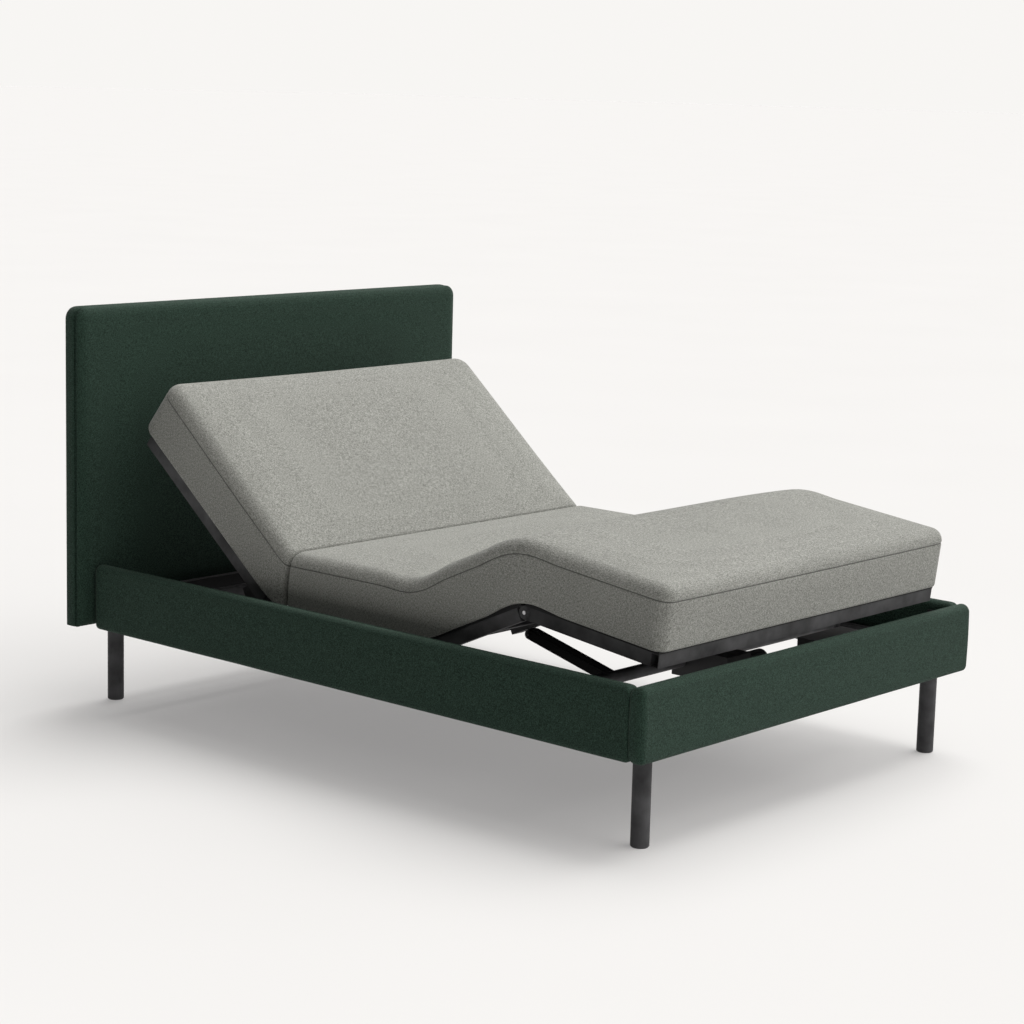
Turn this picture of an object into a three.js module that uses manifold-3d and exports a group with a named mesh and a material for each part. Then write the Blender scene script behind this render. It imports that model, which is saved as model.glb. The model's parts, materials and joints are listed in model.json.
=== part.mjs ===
// Adjustable bed: upholstered headboard and rails, four legs, a steel lift frame with head, seat, thigh and
// calf decks, two lift drives, and a two-piece mattress. Millimetres, +Z up, head at +Y, foot at -Y, origin on
// the floor at the middle of the overall box. The bed stands as raised: head up, knees up, calves sloping down.
import * as THREE from 'three';
import { mergeVertices } from 'three/addons/utils/BufferGeometryUtils.js';
import { RoundedBoxGeometry } from 'three/addons/geometries/RoundedBoxGeometry.js';
import Module from 'manifold-3d';

const wasm = await Module();
wasm.setup();

// ---- driving dimensions ----
const gap = 0.3;                    // left between solids that touch
const overallLength = 2035;
const bedWidth = 1425;
const railThickness = 40;
const railBottom = 222;
const railTop = 407;
const railEdge = 14;                // rounding of the padded rail's long edges
const headboardWidth = 1506;
const headboardBottom = 230;
const headboardTop = 1125;
const headboardThickness = 70;
const boardThickness = 18;
const legRadius = 23;
const footLegX = 619;
const footLegFromFoot = 66.5;
const headLegX = 613;

const mattressWidth = 1200;
const mattressThickness = 150;
const deckTop = 375;                // top of the deck panels with the bed flat
const panelThickness = 16;
const panelHalfWidth = 590;
const tubeHeight = 35;              // deck side tubes
const tubeWidth = 25;
const tubeWall = 2;
const tubeX = 575;                  // centre line of the deck side tubes

// distances from the foot rail's outer face with the bed flat
const mattressFoot = 56;
const deckFoot = 66;
const kneeFromFoot = 487;
const thighHingeFromFoot = 827;
const headHingeFromFoot = 1306;
const mattressHead = 1950;
const headPanelEnd = 1930;
const headTubeEnd = 1914;

// The head and thigh sections turn about lines above the deck, inside the mattress, on curved guides.
const headAxisLift = 120;
const thighAxisLift = 75;
const headRest = 39;                // degrees above flat, as the bed stands
const thighRest = 24.5;
const foldPerThigh = 1.28;          // degrees of knee fold for each degree of thigh lift

// curved guides, their carriages and the lift tubes
const headGuide = { radius: 215, from: -47, to: 45, shoeFrom: -41, shoeTo: -19, plateTo: 24, plateInner: 150 };
const thighGuide = { radius: 175, from: -52, to: 33, shoeFrom: -40, shoeTo: -12, plateTo: 26, plateInner: 112 };
const guideHalfDepth = 10;
const shoeDepth = 10;               // how far a slide shoe stands out from the guide's faces
const guideX = 545;
const guideThickness = 12;
const carriageX = 559.5;
const carriageThickness = 5;
const liftTubeRadius = 17;
const liftArmX = 330;
const liftArmSpread = 15;           // from an arm pair's middle to each blade
const liftArmHalfHeight = 12;
const liftBladeHalf = 3;
const liftPinRadius = 4;
const headLift = { fromFoot: 1720, z: 285, arm: 270, angle: 158, rollerRadius: 16 };
const footLift = { fromFoot: 400, z: 300, arm: 275, angle: 14.5, rollerRadius: 14 };

// ---- derived values ----
const fromFoot = (distance) => distance - overallLength / 2;
const railInner = bedWidth / 2 - railThickness;
const headboardFront = overallLength - headboardThickness;
const panelBottom = deckTop - panelThickness;
const tubeTop = panelBottom - gap;
const tubeBottom = tubeTop - tubeHeight;
const tubeMiddle = tubeTop - tubeHeight / 2;
const frameTubeWidth = 30;
const frameTubeHeight = 40;
const frameTop = 302;
const frameBottom = frameTop - frameTubeHeight;
const frameTubeX = railInner - gap - frameTubeWidth / 2;
const radians = THREE.MathUtils.degToRad;

// ---- materials ----
const paint = (color, roughness, metalness) => new THREE.MeshStandardMaterial({ color, roughness, metalness });
const greenFabric = paint(0x1f3a31, 0.95, 0);
const greyFabric = paint(0x8f918d, 0.95, 0);
const blackSteel = paint(0x17181a, 0.45, 0.6);
const blackBoard = paint(0x121314, 0.8, 0);
const blackPlastic = paint(0x1a1b1d, 0.55, 0);
const nylon = paint(0x2b2c2e, 0.6, 0);
const zincSteel = paint(0x9da1a5, 0.35, 0.9);

// ---- solids ----
function toSolid(geometry) {
  const bare = geometry.index ? geometry.toNonIndexed() : geometry.clone();
  bare.deleteAttribute('normal');
  bare.deleteAttribute('uv');
  const merged = mergeVertices(bare, 1e-3);
  return new wasm.Manifold(new wasm.Mesh({
    numProp: 3,
    vertProperties: new Float32Array(merged.attributes.position.array),
    triVerts: new Uint32Array(merged.index.array),
  }));
}

function toGeometry(solid) {
  const mesh = solid.getMesh();
  const geometry = new THREE.BufferGeometry();
  geometry.setAttribute('position', new THREE.BufferAttribute(new Float32Array(mesh.vertProperties), 3));
  geometry.setIndex(new THREE.BufferAttribute(new Uint32Array(mesh.triVerts), 1));
  return geometry;
}

function joined(...shapes) {
  return toGeometry(shapes.map(toSolid).reduce((sum, shape) => sum.add(shape)));
}

function cut(shape, ...tools) {
  return toGeometry(tools.map(toSolid).reduce((rest, tool) => rest.subtract(tool), toSolid(shape)));
}

function shared(shape, other) {
  return toGeometry(toSolid(shape).intersect(toSolid(other)));
}

// a box given by its low and high limits along each axis
function block(x0, x1, y0, y1, z0, z1) {
  const box = new THREE.BoxGeometry(x1 - x0, y1 - y0, z1 - z0);
  return box.translate((x0 + x1) / 2, (y0 + y1) / 2, (z0 + z1) / 2);
}

// a round bar along X
function barAcross(x0, x1, y, z, radius, sides = 24) {
  const bar = new THREE.CylinderGeometry(radius, radius, x1 - x0, sides);
  return bar.rotateZ(Math.PI / 2).translate((x0 + x1) / 2, y, z);
}

// an outline of [y, z] points, extruded along X
function profileAcross(points, x0, x1, holes = []) {
  const shape = new THREE.Shape(points.map(([y, z]) => new THREE.Vector2(y, z)));
  for (const hole of holes) {
    shape.holes.push(new THREE.Path(hole.map(([y, z]) => new THREE.Vector2(y, z))));
  }
  const solid = new THREE.ExtrudeGeometry(shape, { depth: x1 - x0, bevelEnabled: false });
  // the extrusion's own x, y, z become Y, Z, X
  const axes = new THREE.Matrix4().makeBasis(
    new THREE.Vector3(0, 1, 0), new THREE.Vector3(0, 0, 1), new THREE.Vector3(1, 0, 0));
  return solid.applyMatrix4(axes).translate(x0, 0, 0);
}

const rectangle = (a0, a1, b0, b1) => [[a0, b0], [a1, b0], [a1, b1], [a0, b1]];

// an open-ended rectangular tube along Y, given by its outer limits
function tubeAlong(x0, x1, y0, y1, z0, z1) {
  const inside = block(x0 + tubeWall, x1 - tubeWall, y0 - 1, y1 + 1, z0 + tubeWall, z1 - tubeWall);
  return cut(block(x0, x1, y0, y1, z0, z1), inside);
}

// an open-ended rectangular tube along X
function tubeAcross(x0, x1, y0, y1, z0, z1) {
  return profileAcross(rectangle(y0, y1, z0, z1), x0, x1,
    [rectangle(y0 + tubeWall, y1 - tubeWall, z0 + tubeWall, z1 - tubeWall)]);
}

// a ring sector in the YZ plane about the origin; angles in degrees from straight down, positive towards `way`
function ringSector(inner, outer, from, to, way, x0, x1) {
  const steps = Math.max(2, Math.ceil((to - from) / 4));
  const at = (radius, i) => {
    const angle = radians(from + ((to - from) * i) / steps);
    return [way * radius * Math.sin(angle), -radius * Math.cos(angle)];
  };
  const outline = [];
  for (let i = 0; i <= steps; i += 1) outline.push(at(outer, i));
  for (let i = steps; i >= 0; i -= 1) outline.push(at(inner, i));
  return profileAcross(outline, x0, x1);
}

// ---- assembly helpers ----
const bed = new THREE.Group();
const sides = [['left', -1], ['right', 1]];

function addNode(parent, name, geometry, material) {
  const mesh = new THREE.Mesh(geometry, material);
  mesh.name = name;
  parent.add(mesh);
  return mesh;
}

// limits of a band on the left or right, given on the right-hand side
const band = (side, inner, outer) => (side > 0 ? [inner, outer] : [-outer, -inner]);

// ---- upholstered frame ----
function addHeadboard() {
  const front = fromFoot(headboardFront);
  const back = fromFoot(overallLength);
  const padDepth = headboardThickness - boardThickness - gap;
  const height = headboardTop - headboardBottom;
  const padEdge = 18;
  const pad = new RoundedBoxGeometry(headboardWidth, padDepth, height, 2, padEdge);
  pad.translate(0, front + padDepth / 2, headboardBottom + height / 2);
  addNode(bed, 'headboard_pad', toGeometry(toSolid(pad)), greenFabric);
  const inset = 4;
  addNode(bed, 'headboard_board', block(-headboardWidth / 2 + inset, headboardWidth / 2 - inset,
    back - boardThickness, back, headboardBottom, headboardTop - inset), blackBoard);
}

// a padded rail's section: a rectangle with its four edges rounded
function railSection(inner, outer) {
  const points = [];
  const corners = [[outer - railEdge, railTop - railEdge, 0], [inner + railEdge, railTop - railEdge, 90],
    [inner + railEdge, railBottom + railEdge, 180], [outer - railEdge, railBottom + railEdge, 270]];
  const steps = 3;
  for (const [a, b, start] of corners) {
    for (let i = 0; i <= steps; i += 1) {
      const angle = radians(start + (i * 90) / steps);
      points.push([a + railEdge * Math.cos(angle), b + railEdge * Math.sin(angle)]);
    }
  }
  return points;
}

function addRails() {
  const length = headboardFront - railThickness - 2 * gap;
  for (const [name, side] of sides) {
    const rail = profileAcross(railSection(railInner, bedWidth / 2), 0, length);
    rail.rotateZ(side > 0 ? -Math.PI / 2 : Math.PI / 2);
    rail.translate(0, side > 0 ? fromFoot(headboardFront - gap) : fromFoot(railThickness + gap), 0);
    addNode(bed, `side_rail_${name}`, rail, greenFabric);
  }
  const footSection = railSection(fromFoot(0), fromFoot(railThickness));
  addNode(bed, 'foot_rail', profileAcross(footSection, -bedWidth / 2, bedWidth / 2), greenFabric);
  const crossRailThickness = 22;
  const crossRailTop = 318;
  const halfLength = 610;
  addNode(bed, 'head_cross_rail', block(-halfLength, halfLength, fromFoot(headboardFront - crossRailThickness),
    fromFoot(headboardFront - gap), headboardBottom, crossRailTop), blackBoard);
}

// An inside corner bracket: a flat plate that takes the leg, and two upright flanges against the rails.
const bracketSteel = 4;

function addFootBrackets() {
  const low = fromFoot(railThickness + gap);
  const high = low + 72;
  const outer = railInner - gap;
  const plateInner = 588;
  const flangeInner = 600;
  const flangeTop = railTop - 27;
  for (const [name, side] of sides) {
    const plate = block(...band(side, plateInner, outer), low, high, railBottom, railBottom + bracketSteel);
    const sideFlange = block(...band(side, outer - bracketSteel, outer), low, high, railBottom, flangeTop);
    const footFlange = block(...band(side, flangeInner, outer), low, low + bracketSteel, railBottom, flangeTop);
    addNode(bed, `foot_corner_bracket_${name}`, joined(plate, sideFlange, footFlange), blackSteel);
  }
}

// An angle bracket that bolts a side rail to the headboard.
function addHeadBrackets() {
  const high = fromFoot(headboardFront - gap);
  const outer = railInner - gap;
  const backInner = 616;
  const reach = 60;
  const bottom = 240;
  const top = 385;
  for (const [name, side] of sides) {
    const sideFlange = block(...band(side, outer - bracketSteel, outer), high - reach, high, bottom, top);
    const backFlange = block(...band(side, backInner, outer), high - bracketSteel, high, bottom, top);
    addNode(bed, `head_corner_bracket_${name}`, joined(sideFlange, backFlange), blackSteel);
  }
}

function addLegs() {
  const leg = (top) => {
    const bevel = 3;                // at the floor
    const profile = [[0, 0], [legRadius - bevel, 0], [legRadius, bevel], [legRadius, top], [0, top]];
    const points = profile.map(([r, z]) => new THREE.Vector2(r, z));
    return new THREE.LatheGeometry(points, 28).rotateX(Math.PI / 2);
  };
  const headLegFromFoot = headboardFront + 26;
  for (const [name, side] of sides) {
    const atFoot = leg(railBottom - gap).translate(side * footLegX, fromFoot(footLegFromFoot), 0);
    addNode(bed, `leg_foot_${name}`, toGeometry(toSolid(atFoot)), blackSteel);
    const atHead = leg(headboardBottom - gap).translate(side * headLegX, fromFoot(headLegFromFoot), 0);
    addNode(bed, `leg_head_${name}`, toGeometry(toSolid(atHead)), blackSteel);
  }
}

// ---- lower steel frame ----
const frameTubeInner = frameTubeX - frameTubeWidth / 2;
const frameTubeOuter = frameTubeX + frameTubeWidth / 2;
const frameTubeStart = 118;         // from the foot, as the distances above
const frameTubeEnd = 1888;
const liftBoreSlack = 0.6;

// A lug inside the frame tube, in which the lift tube turns.
function liftLug(side, lift) {
  const thickness = 10;
  const half = 27;
  const y = fromFoot(lift.fromFoot);
  const limits = band(side, frameTubeInner - thickness, frameTubeInner + 1);
  return block(...limits, y - half, y + half, lift.z - half, lift.z + half);
}

// A post on the frame tube with a flat arm under the seat deck's side tube.
function seatBracket(side, distance) {
  const half = 22;
  const postDepth = 12;
  const armThickness = 5;
  const top = tubeBottom - gap;
  const y = fromFoot(distance);
  const postLimits = band(side, frameTubeOuter - postDepth, frameTubeOuter);
  const armLimits = band(side, tubeX - tubeWidth / 2 + 2, frameTubeOuter);
  const post = block(...postLimits, y - half, y + half, frameTop - 1, top);
  const arm = block(...armLimits, y - half, y + half, top - armThickness, top);
  return [post, arm];
}

// A side tube with welded lugs for the lift tubes and brackets that carry the seat deck.
function addFrameSides() {
  const tubeStart = fromFoot(frameTubeStart);
  const tubeEnd = fromFoot(frameTubeEnd);
  const bracketInset = 45;
  for (const [name, side] of sides) {
    const limits = band(side, frameTubeInner, frameTubeOuter);
    const tube = block(...limits, tubeStart, tubeEnd, frameBottom, frameTop);
    const steel = joined(tube, liftLug(side, headLift), liftLug(side, footLift),
      ...seatBracket(side, thighHingeFromFoot + bracketInset),
      ...seatBracket(side, headHingeFromFoot - bracketInset));
    const bore = (lift) => barAcross(...band(side, frameTubeInner - 40, frameTubeInner + 6),
      fromFoot(lift.fromFoot), lift.z, liftTubeRadius + liftBoreSlack, 24);
    const hollow = block(...band(side, frameTubeInner + tubeWall, frameTubeOuter - tubeWall),
      tubeStart - 1, tubeEnd + 1, frameBottom + tubeWall, frameTop - tubeWall);
    addNode(bed, `frame_side_tube_${name}`, cut(steel, bore(headLift), bore(footLift), hollow), blackSteel);
  }
}

const crossTubeHalf = 15;
const crossTubeFromFoot = { foot: 190, middle: 1066, head: 1862 };

function addFrameCrossTubes() {
  const half = frameTubeInner - gap;
  for (const [name, distance] of Object.entries(crossTubeFromFoot)) {
    const y = fromFoot(distance);
    const tube = tubeAcross(-half, half, y - crossTubeHalf, y + crossTubeHalf, frameBottom, frameTop);
    addNode(bed, `frame_cross_tube_${name}`, tube, blackSteel);
  }
}

// ---- seat deck, fixed to the frame ----
const panelSlit = 2;                // half of the slit between two panels with the bed flat
const tubeSlit = 5;                 // the same for the side tubes under them

function addSeatDeck() {
  const start = fromFoot(thighHingeFromFoot);
  const end = fromFoot(headHingeFromFoot);
  const panel = block(-panelHalfWidth, panelHalfWidth, start + panelSlit, end - panelSlit,
    panelBottom, deckTop);
  addNode(bed, 'seat_panel', panel, blackBoard);
  for (const [name, side] of sides) {
    const limits = band(side, tubeX - tubeWidth / 2, tubeX + tubeWidth / 2);
    const tube = tubeAlong(...limits, start + tubeSlit, end - tubeSlit, tubeBottom, tubeTop);
    addNode(bed, `seat_side_tube_${name}`, tube, blackSteel);
  }
}

// ---- curved guides and carriages ----
// Both are drawn about the section's turning axis, which is the origin here.
const guideInner = guideX - guideThickness / 2;
const guideOuter = guideX + guideThickness / 2;

// A hanger passes under the carriage's path: from the guide's inner face, outwards, then up to the frame tube.
function guideHanger(guide, axisZ, way, side) {
  const half = 16;
  const steel = 5;
  const beforeEnd = 13;             // degrees
  const clearance = 3;
  const angle = radians(guide.to - beforeEnd);
  const y = way * guide.radius * Math.sin(angle);
  const strapTop = -guide.radius - guideHalfDepth - shoeDepth - clearance;
  const strapBottom = strapTop - steel;
  const plate = block(...band(side, guideInner - steel, guideInner + 1), y - half, y + half,
    strapBottom, -guide.radius * Math.cos(angle));
  const strap = block(...band(side, guideInner - steel, frameTubeOuter), y - half, y + half,
    strapBottom, strapTop);
  const post = block(...band(side, frameTubeInner, frameTubeOuter), y - half, y + half,
    strapBottom, frameBottom - gap - axisZ);
  return [plate, strap, post];
}

function guideShape(guide, axisZ, way, side) {
  const low = guide.radius - guideHalfDepth;
  const high = guide.radius + guideHalfDepth;
  const lugAngle = 4;
  const arc = ringSector(low, high, guide.from, guide.to, way, ...band(side, guideInner, guideOuter));
  // a lug at the seat end reaches the seat side tube
  const lug = ringSector(low, high, guide.from, guide.from + lugAngle, way,
    ...band(side, guideX, tubeX - tubeWidth / 2 - gap));
  return joined(arc, lug, ...guideHanger(guide, axisZ, way, side));
}

// A plate bolted to the section's side tube, with a slide shoe that wraps the curved guide.
function carriageShape(guide, axisZ, way, side) {
  const plateLimits = band(side, carriageX - carriageThickness / 2, carriageX + carriageThickness / 2);
  const outer = guide.radius + guideHalfDepth + shoeDepth;
  const sector = ringSector(guide.plateInner, outer, guide.shoeFrom, guide.plateTo, way, ...plateLimits);
  // the plate stays under the seat panel with the bed flat
  const far = 1000;
  const below = block(-far, far, -far, far, -far, panelBottom - 4 - axisZ);
  const plate = shared(sector, below);
  // the shoe stops short of the guide's inner face, where the hanger is welded
  const shoeLimits = band(side, guideInner + 2, carriageX);
  const slack = 0.6;
  const innerPad = ringSector(guide.radius - guideHalfDepth - shoeDepth, guide.radius - guideHalfDepth - slack,
    guide.shoeFrom, guide.shoeTo, way, ...shoeLimits);
  const outerPad = ringSector(guide.radius + guideHalfDepth + slack, outer, guide.shoeFrom, guide.shoeTo,
    way, ...shoeLimits);
  return joined(plate, innerPad, outerPad);
}

function addGuides() {
  const sections = [['head', headGuide, headHingeFromFoot, deckTop + headAxisLift, 1],
    ['thigh', thighGuide, thighHingeFromFoot, deckTop + thighAxisLift, -1]];
  for (const [section, guide, distance, z, way] of sections) {
    for (const [name, side] of sides) {
      const mesh = addNode(bed, `${section}_guide_${name}`, guideShape(guide, z, way, side), blackSteel);
      mesh.position.set(0, fromFoot(distance), z);
    }
  }
}

// ---- moving sections ----
// A section is drawn flat, about its own axis, and its group is turned to the raised position.
function sectionGroup(parent, y, z, degrees) {
  const group = new THREE.Group();
  group.position.set(0, y, z);
  group.rotation.x = radians(degrees);
  parent.add(group);
  return group;
}

const headSection = sectionGroup(bed, fromFoot(headHingeFromFoot), deckTop + headAxisLift, headRest);
const thighSection = sectionGroup(bed, fromFoot(thighHingeFromFoot), deckTop + thighAxisLift, -thighRest);
const kneeDrop = deckTop - tubeMiddle;
const calfSection = sectionGroup(thighSection, kneeFromFoot - thighHingeFromFoot, -thighAxisLift - kneeDrop,
  foldPerThigh * thighRest);

// A cross tube with two bars welded to it, which the lift rollers push on. Distances are along Y from the axis.
const pushBarHalfWidth = 20;
const headPush = { cross: [170, 195], bars: [12, 171] };
const thighPush = { cross: [-230, -205], bars: [-206, -60] };

function pushFrame(push, z0, z1) {
  const half = tubeX - tubeWidth / 2 - gap;
  const cross = block(-half, half, ...push.cross, z0, z1);
  const bars = sides.map(([, side]) => block(
    ...band(side, liftArmX - pushBarHalfWidth, liftArmX + pushBarHalfWidth), ...push.bars, z0, z1));
  const hollow = block(-half - 1, half + 1, push.cross[0] + tubeWall, push.cross[1] - tubeWall,
    z0 + tubeWall, z1 - tubeWall);
  return cut(joined(cross, ...bars), hollow);
}

function addHeadSection() {
  const top = -headAxisLift;
  const low = top - panelThickness;
  const tubeHigh = low - gap;
  const tubeLow = tubeHigh - tubeHeight;
  const end = headPanelEnd - headHingeFromFoot;
  const tubeEnd = headTubeEnd - headHingeFromFoot;
  const panel = block(-panelHalfWidth, panelHalfWidth, panelSlit, end, low, top);
  addNode(headSection, 'head_panel', panel, blackBoard);
  for (const [name, side] of sides) {
    const limits = band(side, tubeX - tubeWidth / 2, tubeX + tubeWidth / 2);
    const tube = tubeAlong(...limits, tubeSlit, tubeEnd, tubeLow, tubeHigh);
    addNode(headSection, `head_side_tube_${name}`, tube, blackSteel);
    const carriage = carriageShape(headGuide, deckTop + headAxisLift, 1, side);
    addNode(headSection, `head_carriage_${name}`, carriage, blackSteel);
  }
  addNode(headSection, 'head_push_frame', pushFrame(headPush, tubeLow, tubeHigh), blackSteel);
  const half = tubeX - tubeWidth / 2 - gap;
  const endTube = tubeAcross(-half, half, tubeEnd - tubeWidth, tubeEnd, tubeLow, tubeHigh);
  addNode(headSection, 'head_end_tube', endTube, blackSteel);
}

// A side tube that ends at the knee in a half-width round tongue, with a hole for the knee pin.
// `way` is the direction along Y in which the tube leaves the knee; the tongue takes the inner or outer half.
const kneePinRadius = 5;

function kneeTube(side, way, far, innerHalf) {
  const low = tubeX - tubeWidth / 2;
  const high = tubeX + tubeWidth / 2;
  const halfHeight = tubeHeight / 2;
  const reach = halfHeight + 2;
  const solidEnd = 14;              // the tube is plugged next to the tongue
  const [y0, y1] = way > 0 ? [reach, far] : [-far, -reach];
  const [hollow0, hollow1] = way > 0 ? [y0 + solidEnd, y1 + 1] : [y0 - 1, y1 - solidEnd];
  const tube = block(...band(side, low, high), y0, y1, -halfHeight, halfHeight);
  const hollow = block(...band(side, low + tubeWall, high - tubeWall), hollow0, hollow1,
    -halfHeight + tubeWall, halfHeight - tubeWall);
  const half = innerHalf ? band(side, low, tubeX - gap) : band(side, tubeX + gap, high);
  const disc = barAcross(...half, 0, 0, halfHeight, 24);
  const neckEnd = way * (reach + 1);
  const neck = block(...half, Math.min(0, neckEnd), Math.max(0, neckEnd), -halfHeight, halfHeight);
  const hole = barAcross(...band(side, low - 5, high + 5), 0, 0, kneePinRadius + gap, 16);
  return cut(joined(tube, disc, neck), hollow, hole);
}

function addThighSection() {
  const top = -thighAxisLift;
  const low = top - panelThickness;
  const tubeHigh = low - gap;
  const knee = kneeFromFoot - thighHingeFromFoot;
  const panel = block(-panelHalfWidth, panelHalfWidth, knee + panelSlit, -panelSlit, low, top);
  addNode(thighSection, 'thigh_panel', panel, blackBoard);
  for (const [name, side] of sides) {
    const tube = kneeTube(side, 1, -knee - tubeSlit, true);
    addNode(thighSection, `thigh_side_tube_${name}`, tube, blackSteel).position.set(0, knee, top - kneeDrop);
    const carriage = carriageShape(thighGuide, deckTop + thighAxisLift, -1, side);
    addNode(thighSection, `thigh_carriage_${name}`, carriage, blackSteel);
  }
  const push = pushFrame(thighPush, tubeHigh - tubeHeight, tubeHigh);
  addNode(thighSection, 'thigh_push_frame', push, blackSteel);
}

function addCalfSection() {
  const length = kneeFromFoot - deckFoot;
  const top = kneeDrop;
  const low = top - panelThickness;
  const tubeHigh = low - gap;
  const panel = block(-panelHalfWidth, panelHalfWidth, -length, -panelSlit, low, top);
  addNode(calfSection, 'calf_panel', panel, blackBoard);
  const half = tubeX + tubeWidth / 2;
  const pinHead = 2;                // how far the pin stands out of the tube
  const barDepth = 25;
  const tubeLength = length - barDepth - gap;
  for (const [name, side] of sides) {
    addNode(calfSection, `calf_side_tube_${name}`, kneeTube(side, -1, tubeLength, false), blackSteel);
    const pinLimits = band(side, tubeX - tubeWidth / 2 - pinHead, tubeX + tubeWidth / 2 + pinHead);
    addNode(calfSection, `knee_pin_${name}`, barAcross(...pinLimits, 0, 0, kneePinRadius, 16), zincSteel);
  }
  const bar = tubeAcross(-half, half, -length, -length + barDepth, tubeHigh - tubeHeight, tubeHigh);
  addNode(calfSection, 'foot_end_bar', bar, blackSteel);
}

// ---- lift tubes, rollers and drives ----
// The lift tube is drawn about its own axis with the arms along +Y, then turned to its angle.
function liftTubeShape(lift) {
  const half = frameTubeInner + 3;  // its ends turn in the lugs
  const pinHalf = liftArmSpread + 5;
  const solids = [barAcross(-half, half, 0, 0, liftTubeRadius)];
  for (const [, side] of sides) {
    const middle = side * liftArmX;
    for (const blade of [middle - liftArmSpread, middle + liftArmSpread]) {
      const limits = [blade - liftBladeHalf, blade + liftBladeHalf];
      solids.push(block(...limits, 0, lift.arm, -liftArmHalfHeight, liftArmHalfHeight));
      solids.push(barAcross(...limits, lift.arm, 0, liftArmHalfHeight, 20));
    }
    solids.push(barAcross(middle - pinHalf, middle + pinHalf, lift.arm, 0, liftPinRadius, 12));
  }
  return joined(...solids);
}

const leverLength = 34;
const leverHalfWidth = 8;
const leverHalfDepth = 6;
const rollerHalfWidth = 11.5;
const rollerBoreSlack = 0.4;

function addLift(name, lift) {
  const group = new THREE.Group();
  group.position.set(0, fromFoot(lift.fromFoot), lift.z);
  group.rotation.x = radians(lift.angle);
  bed.add(group);
  const lever = block(-leverHalfWidth, leverHalfWidth, -leverHalfDepth, leverHalfDepth, -leverLength, 0);
  lever.rotateX(radians(-lift.angle));
  addNode(group, `${name}_lift_tube`, joined(liftTubeShape(lift), lever), blackSteel);
  for (const [sideName, side] of sides) {
    const middle = side * liftArmX;
    const limits = [middle - rollerHalfWidth, middle + rollerHalfWidth];
    const roller = barAcross(...limits, lift.arm, 0, lift.rollerRadius, 24);
    const bore = barAcross(middle - 20, middle + 20, lift.arm, 0, liftPinRadius + rollerBoreSlack, 12);
    addNode(group, `${name}_roller_${sideName}`, cut(roller, bore), nylon);
  }
}

// A drive hangs on the lift tube. Its slide block pushes the lever under the tube. `way` is the direction
// along Y in which the housing extends from the lift tube.
const driveWall = 3;
const driveHalfWidth = 50;
const driveBehind = 28;             // how far the housing reaches past the lift tube's centre
const driveAbove = 33;
const driveBelow = 40;
const motorRadius = 28;
const motorLength = 90;
const headDriveLength = 125;
const footDriveLength = 150;
const slideBlockStart = 8.2;
const slideBlockLength = 60;
const slideBlockHalfWidth = 36;
const slideBlockTop = 24;           // below the lift tube's centre

function addDrive(name, lift, way, length) {
  const y = fromFoot(lift.fromFoot);
  const along = (a, b) => (way > 0 ? [y + a, y + b] : [y - b, y - a]);
  const shell = block(-driveHalfWidth, driveHalfWidth, ...along(-driveBehind, length),
    lift.z - driveBelow, lift.z + driveAbove);
  const cavity = block(-driveHalfWidth + driveWall, driveHalfWidth - driveWall,
    ...along(-driveBehind + driveWall, length - driveWall),
    lift.z - driveBelow - 1, lift.z + driveAbove - driveWall);
  const bore = barAcross(-driveHalfWidth - 1, driveHalfWidth + 1, y, lift.z, liftTubeRadius + 0.5);
  const motorFromEnd = motorRadius + 6;
  const motor = barAcross(driveHalfWidth - 1, driveHalfWidth + motorLength, y + way * (length - motorFromEnd),
    lift.z - 5, motorRadius, 28);
  addNode(bed, `${name}_drive`, joined(cut(shell, cavity, bore), motor), blackPlastic);
  const slider = block(-slideBlockHalfWidth, slideBlockHalfWidth,
    ...along(slideBlockStart, slideBlockStart + slideBlockLength),
    lift.z - leverLength - 2, lift.z - slideBlockTop);
  addNode(bed, `${name}_slide_block`, slider, nylon);
}

// The control box stands on the foot cross tube, with a power inlet in its foot face.
function addElectrics() {
  const rest = frameTop + gap;
  const height = 46;
  const middleY = fromFoot(crossTubeFromFoot.foot);
  const halfDepth = 42;
  const inletDepth = 6;
  const [x0, x1] = [230, 430];
  const middleX = (x0 + x1) / 2;
  const box = block(x0, x1, middleY - halfDepth, middleY + halfDepth, rest, rest + height);
  const inlet = block(middleX - 14, middleX + 14, middleY - halfDepth - 1, middleY - halfDepth + inletDepth,
    rest + 12, rest + 32);
  addNode(bed, 'control_box', cut(box, inlet), blackPlastic);
}

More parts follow.
